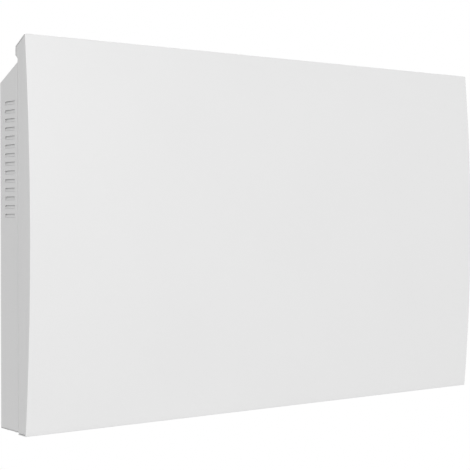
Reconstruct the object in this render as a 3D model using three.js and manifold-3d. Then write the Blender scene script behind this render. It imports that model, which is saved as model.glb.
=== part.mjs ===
// Electric radiator with a ceramic core, hung on a wall bracket. Millimetres, +Z up.
// X runs to the right as seen from the room, -Y points into the room, and Y = 0 is the wall.
// The origin is the middle of the bracket's upper bar, on its back face.
// The heater is drawn in a group of its own, where Y = 0 is the back of the case and Z = 0 is
// the bottom edge of the front panel.

import * as THREE from 'three';
import { mergeVertices } from 'three/addons/utils/BufferGeometryUtils.js';
import Module from 'manifold-3d';

const wasm = await Module();
wasm.setup();

// Front panel: a tray whose face is one arc from bottom to top
const width = 858;
const height = 535;
const bow = 13.2;
const trayDepth = 21;
const foldBack = 26.6;
const foldDrop = 14;
const foldRound = 1.2;
const endRound = 0.9;
const cornerRise = 0.85;
const hemHeight = 12.5;
const notchDrop = 31;
const slitBottom = 500;

// Case behind it, measured from its back to the chord of the front's arc
const caseDepth = 70;
const caseBottom = 3.2;
const slopeBackZ = 475;
const slopeFrontZ = 499;
const cheekDepth = 12;
const cheekCorner = 2.4;

// Where the case hangs
const wallGap = 18;
const hangHeight = 395;

// Sheet metal, and the clearance that touching pieces keep
const steel = 1.2;
const bend = 1.2;
const gap = 0.3;

// Louvres in each cheek, and the slots in the top and the base
const louvreCount = 14;
const louvrePitch = 11.7;
const louvreTop = 448.5;
const louvreHeight = 4.3;
const louvreLength = 27.3;
const louvreBack = 14;
const outletCount = 45;
const outletPitch = 14;
const outletStart = -396;
const inletCount = 30;
const inletPitch = 24;

// Ceramic core: modules side by side, each two ribbed slabs round one bent element
const moduleCount = 3;
const modulePitch = 254;
const slabWidth = 240;
const slabHeight = 310;
const slabBase = 7.5;
const ribDepth = 3.5;
const ribCount = 11;
const ribPitch = 21;
const coreBottom = 80;
const coreY = -44;
const elementRadius = 3.25;
const runCount = 4;
const runPitch = 60;
const pinEnd = 56;

// Chassis between the case and the core
const uprightX = 401.2;
const uprightFront = -60;
const railX = 388;
const railHooks = [110, 270, 430];

// Leads, and the overheat cut-out on top of the core
const leadRadius = 2;
const leadTurn = 8;
const leadEnd = 453;
const cutoutX = 60;

// Buffers and gland in the back, and the room sensor in the base
const bufferX = 368;
const bufferZ = 40;
const glandX = 320;
const glandZ = 60;
const sensor = { x: 380, z: 12, radius: 2.5 };

// Control unit in the right-hand end of the sloped top, drawn flat in its own plane
const controlX = 325;
const bezelTop = 2.3;
const boardTop = -9;
const windowMiddle = -46;
const buttonPitch = 16;
const buttonStart = -14;
const rockerU = 57;
const rockerTilt = THREE.MathUtils.degToRad(6);

// Wall bracket
const bracketSteel = 2;
const barHalf = 230;
const barHeight = 40;
const barSpacing = 280;
const railSpacing = 200;
const railFront = -16;
const railTop = 84.5;
const hookRest = [45, -235];
const lockY = -9.3;

const caseFront = -caseDepth + trayDepth + gap;
const chordY = -caseDepth;
const slopeAngle = Math.atan2(slopeFrontZ - slopeBackZ, -caseFront);
const slopeZ = (y) => slopeBackZ - y * Math.tan(slopeAngle);
const half = width / 2;
const sheetHalf = half - cheekDepth - gap;
const tuck = 9.5;
const backY = -steel - gap;
const backInside = backY - steel;
const trayFront = coreY - 13;
const trayRear = coreY + 13;
const chassisHalf = uprightX - steel - gap;
const belowPin = pinEnd - gap;
const barTop = coreBottom + slabHeight + gap + steel;

// Materials
const material = (color, roughness, metalness = 0) =>
  new THREE.MeshStandardMaterial({ color, roughness, metalness });
const paint = material('#e9e9ea', 0.5);
const galvanised = material('#a9adb0', 0.45, 0.9);
const bracketPaint = material('#d9dadb', 0.55);
const aluminium = material('#c9ccd0', 0.3, 1);
const ceramic = material('#d8cbb4', 0.85);
const steatite = material('#e6e1d6', 0.6);
const sheath = material('#6f6a63', 0.5, 0.8);
const whitePlastic = material('#e4e4e3', 0.45);
const greyPlastic = material('#9b9ea2', 0.5);
const blackPlastic = material('#232426', 0.45);
const glazing = material('#2c3338', 0.15);
const boardGreen = material('#2c5c3c', 0.6);
const insulation = material('#b8a88c', 0.7);
const rubber = material('#2a2a2a', 0.85);

// Solids

// A closed geometry becomes a solid once its corners are shared and its empty faces are gone.
function solid(geometry, at) {
  if (at) geometry.applyMatrix4(at);
  geometry.deleteAttribute('normal');
  geometry.deleteAttribute('uv');
  const merged = mergeVertices(geometry, 1e-4);
  const corners = merged.index.array;
  const faces = [];
  for (let i = 0; i < corners.length; i += 3) {
    const [a, b, c] = corners.slice(i, i + 3);
    if (a !== b && b !== c && c !== a) faces.push(a, b, c);
  }
  return new wasm.Manifold(new wasm.Mesh({
    numProp: 3,
    vertProperties: merged.attributes.position.array,
    triVerts: Uint32Array.from(faces),
  }));
}

const join = (...bodies) => bodies.flat().reduce((whole, body) => whole.add(body));
const cut = (body, ...tools) => tools.flat().reduce((rest, tool) => rest.subtract(tool), body);
const count = (n, make) => Array.from({ length: n }, (_, i) => make(i));
const order = (a, b) => [Math.min(a, b), Math.max(a, b)];

const [axisX, axisY, axisZ] = count(3, (i) => new THREE.Vector3().setComponent(i, 1));

// An outline extruded along X is drawn in (Y, Z), along Y in (X, Z), and along Z in (X, Y).
const layOut = {
  x: new THREE.Matrix4().makeBasis(axisY, axisZ, axisX),
  y: new THREE.Matrix4().makeBasis(axisX, axisZ, axisY.clone().negate()),
  z: new THREE.Matrix4(),
};

// Prism between two stations on an axis; edge rounds its two ends by that radius.
function prism(outline, axis, [from, to], { edge = 0, at } = {}) {
  const geometry = new THREE.ExtrudeGeometry(new THREE.Shape(outline), {
    depth: to - from - 2 * edge,
    bevelEnabled: edge > 0,
    bevelThickness: edge,
    bevelSize: edge,
    bevelOffset: -edge,
    bevelSegments: 2,
  });
  geometry.translate(0, 0, edge + (axis === 'y' ? -to : from));
  geometry.applyMatrix4(layOut[axis]);
  return solid(geometry, at);
}

function box([x0, x1], [y0, y1], [z0, z1], at) {
  const geometry = new THREE.BoxGeometry(x1 - x0, y1 - y0, z1 - z0);
  geometry.translate((x0 + x1) / 2, (y0 + y1) / 2, (z0 + z1) / 2);
  return solid(geometry, at);
}

// Revolved piece; its profile is a list of [radius, height along the axis].
function revolve(profile, { sides = 12, axis = 'z', centre = [0, 0, 0] } = {}) {
  const geometry = new THREE.LatheGeometry(profile.map(([r, h]) => new THREE.Vector2(r, h)), sides);
  if (axis === 'z') geometry.rotateX(Math.PI / 2);
  geometry.translate(...centre);
  return solid(geometry);
}

// A ring's profile comes back to its first point, so that the bore stays open.
const ring = (profile) => [...profile, profile[0]];

// Outline through corners; a third number in a corner is the radius that rounds it.
function rounded(corners, steps = 3) {
  const points = corners.map(([x, y]) => new THREE.Vector2(x, y));
  return corners.flatMap(([, , radius], i) => {
    const here = points[i];
    if (!radius) return [here];
    const back = points.at(i - 1).clone().sub(here).normalize();
    const on = points[(i + 1) % points.length].clone().sub(here).normalize();
    const angle = Math.acos(back.dot(on)) / 2;
    const middle = back.clone().add(on).setLength(radius / Math.sin(angle)).add(here);
    const first = back.setLength(radius / Math.tan(angle)).add(here).sub(middle);
    const last = on.setLength(radius / Math.tan(angle)).add(here).sub(middle);
    const turn = Math.atan2(first.cross(last), first.dot(last));
    return count(steps + 1, (k) =>
      first.clone().rotateAround(new THREE.Vector2(), (turn * k) / steps).add(middle));
  });
}

const plate = (x0, x1, y0, y1, radius = 0) =>
  rounded([[x0, y0, radius], [x1, y0, radius], [x1, y1, radius], [x0, y1, radius]]);

const circle = (x, y, radius, sides = 12) => count(sides, (k) => {
  const angle = (2 * Math.PI * k) / sides;
  return new THREE.Vector2(x + radius * Math.cos(angle), y + radius * Math.sin(angle));
});

// Slot with round ends, along the outline's first or second axis.
function slot(x, y, length, breadth, { steps = 3, upright = false } = {}) {
  const radius = breadth / 2;
  return count(2 * (steps + 1), (k) => {
    const side = k <= steps ? 1 : -1;
    const angle = (Math.PI * (k % (steps + 1))) / steps - Math.PI / 2;
    const along = side * (length / 2 - radius + radius * Math.cos(angle));
    const across = side * radius * Math.sin(angle);
    return upright
      ? new THREE.Vector2(x + across, y + along)
      : new THREE.Vector2(x + along, y + across);
  });
}

// Section of a bent sheet: its fold lines, thickened on the left of the way that they run.
function sheet(path, { from = 0, to = steel, radius = bend } = {}) {
  const corners = path.map(([x, y]) => new THREE.Vector2(x, y));
  const normals = corners.slice(1).map((end, i) => {
    const run = end.clone().sub(corners[i]).normalize();
    return new THREE.Vector2(-run.y, run.x);
  });
  const offset = (distance, fillet) => corners.map((corner, i) => {
    const before = normals[Math.max(i - 1, 0)];
    const after = normals[Math.min(i, normals.length - 1)];
    const mitre = before.clone().add(after).multiplyScalar(distance / (1 + before.dot(after)));
    const inner = i > 0 && i < corners.length - 1;
    return [corner.x + mitre.x, corner.y + mitre.y, inner ? fillet : 0];
  });
  return rounded([...offset(from, radius), ...offset(to, 0).reverse()], 2);
}

const mirrored = (path) => path.map(([x, y]) => [-x, y]).reverse();

// Centre line of a tube or lead: straight runs, and round turns of a few steps each.
class Route extends THREE.Curve {
  constructor(corners, radius, turnSteps = 3) {
    super();
    const points = corners.map((corner) => new THREE.Vector3(...corner));
    const stations = [[points[0], points[1].clone().sub(points[0]).normalize()]];
    points.slice(1, -1).forEach((corner, i) => {
      const from = corner.clone().sub(points[i]).normalize();
      const onward = points[i + 2].clone().sub(corner).normalize();
      for (let k = 0; k <= turnSteps; k += 1) {
        const turn = (Math.PI / 2) * (k / turnSteps);
        const point = corner.clone()
          .addScaledVector(from, radius * (Math.sin(turn) - 1))
          .addScaledVector(onward, radius * (1 - Math.cos(turn)));
        const heading = from.clone().multiplyScalar(Math.cos(turn))
          .addScaledVector(onward, Math.sin(turn));
        stations.push([point, heading]);
      }
    });
    stations.push([points.at(-1), stations.at(-1)[1]]);
    this.stations = stations.filter(([point], i) =>
      i === 0 || point.distanceTo(stations[i - 1][0]) > 0.01);
    this.steps = this.stations.length - 1;
  }

  getPoint(t) {
    return this.stations[Math.round(t * this.steps)][0].clone();
  }

  getPointAt(t) {
    return this.getPoint(t);
  }

  getTangentAt(t) {
    return this.stations[Math.round(t * this.steps)][1].clone();
  }
}

function tube(route, radius, sides = 6) {
  const section = new THREE.Shape(circle(0, 0, radius, sides));
  return solid(new THREE.ExtrudeGeometry(section, { steps: route.steps, extrudePath: route }));
}

// Scene graph: the bracket stands at the origin, and the heater hangs on it
const radiator = new THREE.Group();
const bracket = new THREE.Group();
const heater = new THREE.Group();
const controls = new THREE.Group();
heater.position.set(0, -wallGap, -hangHeight);
controls.position.set(controlX, caseFront / 2, slopeZ(caseFront / 2));
controls.rotation.x = -slopeAngle;
controls.updateMatrix();
radiator.add(bracket, heater);
heater.add(controls);

function add(group, name, body, look) {
  const { vertProperties, triVerts } = body.getMesh();
  const geometry = new THREE.BufferGeometry();
  geometry.setAttribute('position', new THREE.BufferAttribute(vertProperties, 3));
  geometry.setIndex(new THREE.BufferAttribute(triVerts, 1));
  geometry.computeVertexNormals();
  const mesh = new THREE.Mesh(geometry, look);
  mesh.name = name;
  group.add(mesh);
}

// Front panel

// Points on the front's arc, set back by an inset, between two heights.
function bowedFace(inset, low, high, steps = 12) {
  const radius = (height ** 2 / 4 + bow ** 2) / (2 * bow);
  const centreY = chordY - bow + radius;
  return count(steps + 1, (i) => {
    const z = low + ((high - low) * i) / steps;
    return [centreY - Math.sqrt((radius - inset) ** 2 - (z - height / 2) ** 2), z];
  });
}

function makeFrontPanel() {
  const trayBack = chordY + trayDepth;
  const hemY = chordY + foldBack;
  const foldZ = height - foldDrop;
  const hemBottom = foldZ - hemHeight;
  const corner = height + cornerRise;
  const foldSlope = (corner - foldZ) / foldBack;
  const underFold = (y) =>
    corner - (y - chordY) * foldSlope - steel * Math.hypot(1, foldSlope);
  const [first, ...arc] = bowedFace(0, 0, corner);
  const last = arc.pop();
  const shell = rounded([
    [trayBack, 0],
    [...first, foldRound],
    ...arc,
    [...last, foldRound],
    [hemY, foldZ, foldRound],
    [hemY, hemBottom],
    [trayBack, height - notchDrop],
  ]);
  const hollow = rounded([
    [trayBack - steel, steel],
    ...bowedFace(steel, steel, underFold(chordY + steel)),
    [hemY - steel, underFold(hemY - steel)],
    [hemY - steel, slitBottom],
    [trayBack - steel, slitBottom],
  ]);
  const flange = 8;
  const behind = trayBack + 20;
  const inner = half - steel;
  return cut(
    prism(shell, 'x', [-half, half], { edge: endRound }),
    prism(hollow, 'x', [-inner, inner]),
    prism(plate(trayBack - 3, behind, steel + flange, slitBottom + 1), 'x',
      [-inner + flange, inner - flange]),
    prism(plate(trayBack - 3, behind, slitBottom, hemBottom), 'x', [-inner, inner]),
  );
}

// Stiffener welded inside the front panel; its hooks drop into slots of the upright.
function makePanelRail(side) {
  const low = 40;
  const high = 488;
  const rearY = uprightFront - gap;
  const across = order(side * railX, side * (railX + steel));
  const web = rounded([[rearY, low], ...bowedFace(steel + gap, low, high), [rearY, high]]);
  const hook = (z) => rounded([
    [rearY - 3, z + 5],
    [rearY - 3, z - 3],
    [uprightFront + steel + gap, z - 3],
    [uprightFront + steel + gap, z - 9],
    [uprightFront + steel + gap + 1.8, z - 9],
    [uprightFront + steel + gap + 1.8, z + 5],
  ]);
  const window = (z) => prism(slot(-69, z, 110, 7, { upright: true }), 'x', [-half, half]);
  return cut(
    join(prism(web, 'x', across), railHooks.map((z) => prism(hook(z), 'x', across))),
    [190, 350].map(window),
  );
}

// Case: two flanged cheeks, and three sheets between them

function caseOutline(inset, radius = 0) {
  const front = caseFront + inset;
  const drop = inset / Math.cos(slopeAngle);
  return rounded([
    [front, caseBottom + inset, radius],
    [-inset, caseBottom + inset, radius],
    [-inset, slopeZ(-inset) - drop, radius],
    [front, slopeZ(front) - drop, radius],
  ]);
}

// A louvre is lanced on three sides and leans inwards from its lower edge.
function makeCheek(side) {
  const outer = side * half;
  const inward = (distance) => outer - side * distance;
  const shell = cut(
    prism(caseOutline(0, cheekCorner), 'x', order(outer, inward(2 * cheekDepth)), { edge: bend }),
    prism(caseOutline(-1), 'x', order(inward(cheekDepth), inward(3 * cheekDepth))),
    prism(caseOutline(steel), 'x', order(inward(steel), inward(2 * cheekDepth))),
  );
  const [near, far] = order(-louvreBack, -louvreBack - louvreLength);
  const bottoms = count(louvreCount, (i) => louvreTop - louvreHeight - i * louvrePitch);
  const openings = bottoms.map((z) =>
    box(order(inward(-1), inward(3)), [near, far], [z, z + louvreHeight]));
  const lean = [[0, -0.6], [0, 0], [1.7, 3.6], [2.8, 3.1], [steel, -0.6]];
  const blades = bottoms.map((z) => prism(
    rounded(lean.map(([depth, rise]) => [inward(depth), z + rise])),
    'y',
    [near + 0.4, far - 0.4],
  ));
  return join(cut(shell, openings), blades);
}

// The end of a sheet steps inwards and slides under the cheek's flange.
function withJoggles(body, path) {
  const under = steel + gap;
  const step = prism(sheet(path, { from: steel / 2, to: under + steel }), 'x',
    [sheetHalf - 7, sheetHalf]);
  const lip = prism(sheet(path, { from: under, to: under + steel }), 'x',
    [sheetHalf - 7, sheetHalf + tuck]);
  const right = join(step, lip);
  return join(body, right, right.mirror([1, 0, 0]));
}

// The back sheet is flat, and set in by its own thickness, so that its ends lie under the flanges.
function makeRearPanel() {
  const low = caseBottom + steel + gap;
  const high = slopeZ(backY) - (steel + gap) / Math.cos(slopeAngle);
  const flange = 8;
  const folds = [
    [backY - flange, low],
    [backY, low],
    [backY, high],
    [backY - flange, high + flange * Math.tan(slopeAngle)],
  ];
  const ends = sheetHalf + tuck;
  const panel = join(
    prism(sheet([[backY, low + 2], [backY, high - 4]]), 'x', [-ends, ends]),
    prism(sheet([[backY, low], [backY, high]]), 'x', [-sheetHalf, sheetHalf]),
    prism(sheet(folds), 'x', [8 - sheetHalf, sheetHalf - 8]),
  );
  const through = (outline) => prism(outline, 'y', [-5, 5]);
  const hookSlots = hookRest.flatMap((z) => [-1, 1].map((side) => {
    const top = z + hangHeight;
    return through(plate(side * railSpacing - 14, side * railSpacing + 14, top - 18, top));
  }));
  const bufferHoles = [-1, 1].map((side) => through(circle(side * bufferX, bufferZ, 3.5)));
  return cut(panel, hookSlots, bufferHoles, through(circle(glandX, glandZ, 8.4)));
}

function makeTopCover() {
  const flangeBottom = slopeFrontZ - 14;
  const folds = [[0, slopeZ(0)], [caseFront, slopeFrontZ], [caseFront, flangeBottom]];
  const tucked = [[-3, slopeZ(-3)], [caseFront, slopeFrontZ], [caseFront, flangeBottom]];
  const slope = controls.matrix.clone();
  slope.setPosition(0, caseFront / 2, slopeZ(caseFront / 2));
  const outlets = count(outletCount, (i) =>
    prism(slot(outletStart + i * outletPitch, 1, 27, 6, { steps: 2, upright: true }),
      'z', [-4, 3], { at: slope }));
  const opening = prism(plate(-70, 70, -15, 15), 'z', [-4, 3], { at: controls.matrix });
  const panel = prism(sheet(folds), 'x', [-sheetHalf, sheetHalf]);
  return cut(withJoggles(panel, tucked), outlets, opening);
}

function makeBaseCover() {
  const flangeTop = caseBottom + 11;
  const folds = [[caseFront, flangeTop], [caseFront, caseBottom], [0, caseBottom]];
  const tucked = [[caseFront, flangeTop], [caseFront, caseBottom], [-3, caseBottom]];
  const first = (-inletPitch * (inletCount - 1)) / 2;
  const inlets = count(inletCount, (i) =>
    prism(slot(first + i * inletPitch, caseFront / 2, 26, 5, { steps: 2, upright: true }),
      'z', [0, 8]));
  return cut(withJoggles(prism(sheet(folds), 'x', [-sheetHalf, sheetHalf]), tucked), inlets);
}

// Rubber buffers and the cable gland in the back of the case

const makeBuffer = (side) => revolve([
  [0, backY - 5], [3.2, backY - 5], [4.6, backInside - gap], [3, backInside - gap], [3, backY + gap],
  [9, backY + gap], [9, wallGap - 4], [7.5, wallGap - gap], [0, wallGap - gap],
], { axis: 'y', centre: [side * bufferX, 0, bufferZ] });

const makeGland = () => revolve(ring([
  [4.5, -14], [7.9, -14], [7.9, gap], [11, gap], [11, 3.5], [8.5, 3.5], [6.5, 10], [4.5, 10],
]), { axis: 'y', centre: [glandX, backY, glandZ] });

const makeGlandNut = () => cut(
  prism(circle(glandX, glandZ, 12.5, 6), 'y', [backInside - 6, backInside - gap]),
  prism(circle(glandX, glandZ, 8.4), 'y', [backInside - 8, backY]),
);

function makeTerminalBlock() {
  const [left, right] = [298, 346];
  const ways = [-14, 0, 14].map((x) => (left + right) / 2 + x);
  const body = prism(rounded([
    [-34, 4.7], [-14, 4.7], [-14, 15], [-18, 20, 1], [-30, 20, 1], [-34, 15],
  ]), 'x', [left, right]);
  const wireWays = ways.map((x) => prism(circle(x, 10, 2.6, 6), 'y', [-40, -8]));
  const screws = ways.flatMap((x) => [-28, -20].map((y) => prism(circle(x, y, 2, 6), 'z', [10, 25])));
  return cut(body, wireWays, screws);
}

// Room sensor: a small capsule held low down, in the air that comes in

const makeSensor = () => revolve([
  [0, -36], [1.6, -35.4], [sensor.radius, -34], [sensor.radius, -14], [0, -14],
], { axis: 'y', sides: 10, centre: [sensor.x, 0, sensor.z] });

const makeSensorClip = () => cut(
  prism(plate(sensor.x - 6, sensor.x + 6, 4.7, 15, 1), 'y', [-28, -20]),
  prism(circle(sensor.x, sensor.z, sensor.radius + gap), 'y', [-30, -18]),
  prism(plate(sensor.x - 1.8, sensor.x + 1.8, sensor.z, 17), 'y', [-30, -18]),
);

// Chassis

function makeUpright(side) {
  const path = [
    [uprightX - 21, uprightFront],
    [uprightX, uprightFront],
    [uprightX, backInside - gap],
    [uprightX - 21, backInside - gap],
  ];
  const channel = prism(sheet(side > 0 ? path : mirrored(path)), 'z', [18, 467]);
  const hookSlots = railHooks.map((z) => box(
    order(side * (railX - 0.7), side * (railX + steel + 0.7)),
    [uprightFront - 1, uprightFront + 2],
    [z - 3 - gap, z + 13.5],
  ));
  const windows = [60, 160, 235, 310, 440].map((z) =>
    prism(slot(-26, z, 34, 18, { upright: true }), 'x', order(side * 390, side * 410)));
  return cut(channel, hookSlots, windows);
}

const pinX = (module, end) =>
  (module - (moduleCount - 1) / 2) * modulePitch + (end - 0.5) * (runCount - 1) * runPitch;
const everyPin = count(moduleCount, (module) => [0, 1].map((end) => pinX(module, end))).flat();

// End plates close a channel, and are riveted to the uprights.
const endPlates = (low, high) => [-1, 1].map((side) => box(
  order(side * (chassisHalf - steel), side * chassisHalf),
  [trayFront + steel / 2, trayRear - steel / 2],
  [low, high],
));

function makeCoreTray() {
  const floor = coreBottom - steel - 0.4;
  const path = [[trayFront, floor + 13], [trayFront, floor], [trayRear, floor], [trayRear, floor + 13]];
  return cut(
    join(prism(sheet(path), 'x', [-chassisHalf, chassisHalf]), endPlates(floor + steel / 2, floor + 25)),
    everyPin.map((x) => prism(circle(x, coreY, 7.6), 'z', [floor - 2, floor + 4])),
  );
}

function makeCoreTopBar() {
  const path = [
    [trayRear, barTop - 12], [trayRear, barTop], [trayFront, barTop], [trayFront, barTop - 12],
  ];
  return join(
    prism(sheet(path), 'x', [-chassisHalf, chassisHalf]),
    endPlates(barTop - 25, barTop - steel / 2),
  );
}

// Bright sheet behind the core, stiffened by pressed beads.
function makeReflector() {
  const y = -14.8;
  const edgeY = backInside - 2 * gap - steel - 0.2;
  const beads = count(6, (i) => {
    const x = (i - 2.5) * 127;
    return [[x - 6, y], [x - 3, y + 1.6], [x + 3, y + 1.6], [x + 6, y]];
  }).flat();
  const path = [
    [-chassisHalf, edgeY], [-chassisHalf, y], ...beads, [chassisHalf, y], [chassisHalf, edgeY],
  ];
  return prism(sheet(path, { to: 0.8, radius: 0 }), 'z', [75, 395]);
}

// Ceramic core

// The element goes down and up through its module, and both of its pins leave at the bottom.
function elementRoute(module) {
  const turn = runPitch / 2;
  const high = coreBottom + slabHeight - 16;
  const low = coreBottom + 16;
  const corners = count(runCount, (run) => {
    const x = pinX(module, 0) + run * runPitch;
    const ends = [[x, coreY, run === 0 ? pinEnd : low], [x, coreY, high]];
    if (run === runCount - 1) ends[0][2] = pinEnd;
    return run % 2 ? ends.reverse() : ends;
  }).flat();
  return new Route(corners, turn);
}

// Half of a module: ribs on the outside, and half of the element's groove on the inside.
function makeSlab(module, side) {
  const middle = (module - (moduleCount - 1) / 2) * modulePitch;
  const seat = coreY + side * gap / 2;
  const ribs = count(ribCount, (i) => {
    const x = middle + (i - (ribCount - 1) / 2) * ribPitch;
    return [
      [x - 5.5, seat + side * slabBase],
      [x - 3.5, seat + side * (slabBase + ribDepth)],
      [x + 3.5, seat + side * (slabBase + ribDepth)],
      [x + 5.5, seat + side * slabBase],
    ];
  }).flat();
  const outline = rounded([
    [middle - slabWidth / 2, seat],
    [middle - slabWidth / 2, seat + side * slabBase],
    ...ribs,
    [middle + slabWidth / 2, seat + side * slabBase],
    [middle + slabWidth / 2, seat],
  ]);
  return cut(
    prism(outline, 'z', [coreBottom, coreBottom + slabHeight]),
    tube(elementRoute(module), elementRadius + 0.35),
  );
}

// Ceramic bead that keeps an element's pin clear of the tray; its neck sits in the tray's hole.
const makeBead = (x) => revolve(ring([
  [3.7, 62], [8, 62], [8, 70], [10, 70], [10, 78.1], [7.1, 78.1], [7.1, 79.4], [3.7, 79.4],
]), { sides: 10, centre: [x, coreY, 0] });

// Leads between the modules, and from the end modules up to the control unit

const makeJumper = (module) => {
  const [from, to] = [pinX(module, 1), pinX(module + 1, 0)];
  return tube(new Route([
    [from, coreY, belowPin], [from, coreY, 44], [to, coreY, 44], [to, coreY, belowPin],
  ], leadTurn), leadRadius);
};

const makeLead = (pin, floor, riser) => tube(new Route([
  [pin, coreY, belowPin], [pin, coreY, floor], [riser, coreY, floor],
  [riser, coreY + 2 * leadTurn, floor], [riser, coreY + 2 * leadTurn, leadEnd],
], leadTurn), leadRadius);

// Overheat cut-out on its bracket, on top of the core

const makeCutoutBracket = () => prism(
  sheet([[-56, barTop + gap], [-35, barTop + gap], [-35, barTop + 14]]),
  'x',
  [cutoutX - 18, cutoutX + 18],
);

function makeCutout() {
  const seat = barTop + 2 * gap + steel;
  const can = revolve([
    [0, seat], [8, seat], [8, seat + 1.2], [6.5, seat + 1.2], [6.5, seat + 7], [0, seat + 7],
  ], { centre: [cutoutX, coreY - 1, 0] });
  const tabs = [-4, 4].map((x) => box(
    [cutoutX + x - 0.5, cutoutX + x + 0.5], [coreY - 4.2, coreY + 2.2], [seat + 6, seat + 14]));
  return join(can, tabs);
}

// Control unit, drawn flat: X along the top, Y down the slope to the back, Z out of the slope

const buttonU = (i) => buttonStart + i * buttonPitch;

function makeBezel() {
  const cover = prism(plate(-75, 75, -18, 18, 3), 'z', [gap, bezelTop]);
  const skirt = cut(box([-69.6, 69.6], [-14.6, 14.6], [-4.5, 1]), box([-68, 68], [-13, 13], [-6, 0.6]));
  const holes = count(4, (i) => prism(circle(buttonU(i), 0, 5.2), 'z', [-6, 6]));
  return cut(
    join(cover, skirt),
    prism(plate(windowMiddle - 20, windowMiddle + 20, -9, 9), 'z', [-6, 6]),
    prism(plate(rockerU - 10.3, rockerU + 10.3, -6.8, 6.8), 'z', [-6, 6]),
    holes,
  );
}

const makeWindow = () => join(
  prism(plate(windowMiddle - 19.7, windowMiddle + 19.7, -8.7, 8.7), 'z', [-0.6, bezelTop - 0.1]),
  prism(plate(windowMiddle - 21.5, windowMiddle + 21.5, -10.5, 10.5), 'z', [-1.2, 0]),
);

const makeDisplay = () => join(
  box([windowMiddle - 21, windowMiddle + 21], [-11, 11], [-6.5, -1.5]),
  [-9, 9].map((v) => box([windowMiddle - 16, windowMiddle + 16], [v - 1, v + 1], [boardTop + gap, -6])),
);

// The board carries four tactile switches under the buttons.
const makeBoard = () => join(
  prism(plate(-68, 43, -13, 13, 2), 'z', [boardTop - 1.6, boardTop]),
  count(4, (i) => box([buttonU(i) - 3, buttonU(i) + 3], [-3, 3], [boardTop - 0.5, boardTop + 2.2])),
);

const makeButton = (i) => revolve([
  [0, -5.9], [2, -5.9], [2, -1.8], [6, -1.8], [6, 0], [4.8, 0], [4.8, 2.8], [4.2, 3.3], [0, 3.5],
], { centre: [buttonU(i), 0, 0] });

// Open box under the sheet, with posts for the board and holes for the leads.
function makeHousing() {
  const floor = -30;
  const rim = -steel - gap;
  const posts = [-60, 35].flatMap((u) => [-9, 9].map((v) =>
    prism(circle(u, v, 2.5, 8), 'z', [floor + 1, boardTop - 1.6 - gap])));
  const shell = cut(
    prism(plate(-72.5, 72.5, -17, 17, 3), 'z', [floor, rim]),
    prism(plate(-70.7, 70.7, -15.2, 15.2), 'z', [floor + 1.8, 0]),
    [58, 66].map((u) => prism(circle(u, 10.6, 3.2, 8), 'z', [floor - 2, floor + 4])),
  );
  return join(shell, posts);
}

// Rocker switch: a lined well with a rim on the bezel, and blades below.
function makeRockerHousing() {
  const seat = bezelTop + gap;
  const body = join(
    prism(plate(rockerU - 12, rockerU + 12, -8.3, 8.3, 1.5), 'z', [seat, seat + 1.2]),
    box([rockerU - 10, rockerU + 10], [-6.5, 6.5], [-14, seat + 0.5]),
    [-5, 5].map((u) => box([rockerU + u - 0.4, rockerU + u + 0.4], [-3, 3], [-21, -13])),
  );
  return cut(
    body,
    box([rockerU - 8.8, rockerU + 8.8], [-5.4, 5.4], [-4, seat + 5]),
    prism(circle(rockerU, 0.5, 1.3, 8), 'y', [-8, 8]),
  );
}

// The rocker's top is two flats that meet over the pivot; it rests with one end down.
function makeRocker() {
  const profile = rounded([
    [-7.6, -1.2], [-4, -3], [4, -3], [7.6, -1.2], [7.7, 4.9, 0.6], [0, 3.7], [-7.7, 4.9, 0.6],
  ], 2);
  const tilt = new THREE.Matrix4().makeRotationY(rockerTilt);
  const place = new THREE.Matrix4().makeTranslation(rockerU, 0, 0.5).multiply(tilt);
  return join(
    prism(profile, 'y', [-4.9, 4.9], { at: place }),
    prism(circle(0, 0, 0.95, 8), 'y', [-6.2, 6.2], { at: place }),
  );
}

// Wall bracket

function makeBar(z) {
  const low = z - barHeight / 2;
  return cut(
    prism(plate(-barHalf, barHalf, low, low + barHeight, 6), 'y', [-bracketSteel, 0]),
    [-120, 120].map((x) => prism(slot(x, z, 22, 8), 'y', [-5, 5])),
  );
}

// Hat-section rail with two hooks that point up, and a tab on top for the lock.
function makeBracketRail(side) {
  const t = 1.5;
  const middle = side * railSpacing;
  const foot = -bracketSteel - gap - t;
  const section = sheet([
    [-26, foot], [-15, foot], [-15, railFront], [15, railFront], [15, foot], [26, foot],
  ].map(([x, y]) => [middle + x, y]), { to: t, radius: 1 });
  const low = -barSpacing - barHeight / 2;
  const near = backInside - wallGap - 0.8;
  const far = near - 2;
  const hooks = hookRest.map((z) => prism(rounded([
    [-15, z - gap - 2], [far, z - gap - 2, 1], [far, z + 9, 0.8], [near, z + 9, 0.8],
    [near, z - gap], [-15, z - gap],
  ], 2), 'x', [middle - 12, middle + 12]));
  const tab = prism(plate(middle - 15, middle + 15, railFront, foot + 1, 1.5), 'z', [railTop - 2, railTop]);
  return cut(
    join(prism(section, 'z', [low, railTop - 1.5]), hooks, tab),
    prism(circle(middle, lockY, 3.4), 'z', [railTop - 5, railTop + 5]),
  );
}

// Quarter-turn lock: a headed stem in the tab, and a nose that turns over the back edge of the case.
function makeLock(side) {
  const under = railTop + gap;
  const middle = side * railSpacing;
  const spindle = revolve([
    [0, railTop - 4.5], [4.3, railTop - 4.5], [4.3, railTop - 2.8], [3, railTop - 2 - gap],
    [3, under], [6.3, under], [6.3, under + 4.7], [0, under + 4.7],
  ], { centre: [middle, lockY, 0] });
  const [x0, x1] = order(middle, middle + side * 15);
  const nose = prism(plate(x0, x1, lockY - 3.5, lockY + 3.5, 2), 'z', [under, under + 3.7]);
  const turnSlot = box([middle - 5, middle + 5], [lockY - 0.8, lockY + 0.8], [under + 3, under + 6]);
  return cut(join(spindle, nose), turnSlot);
}

// Assembly

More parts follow.
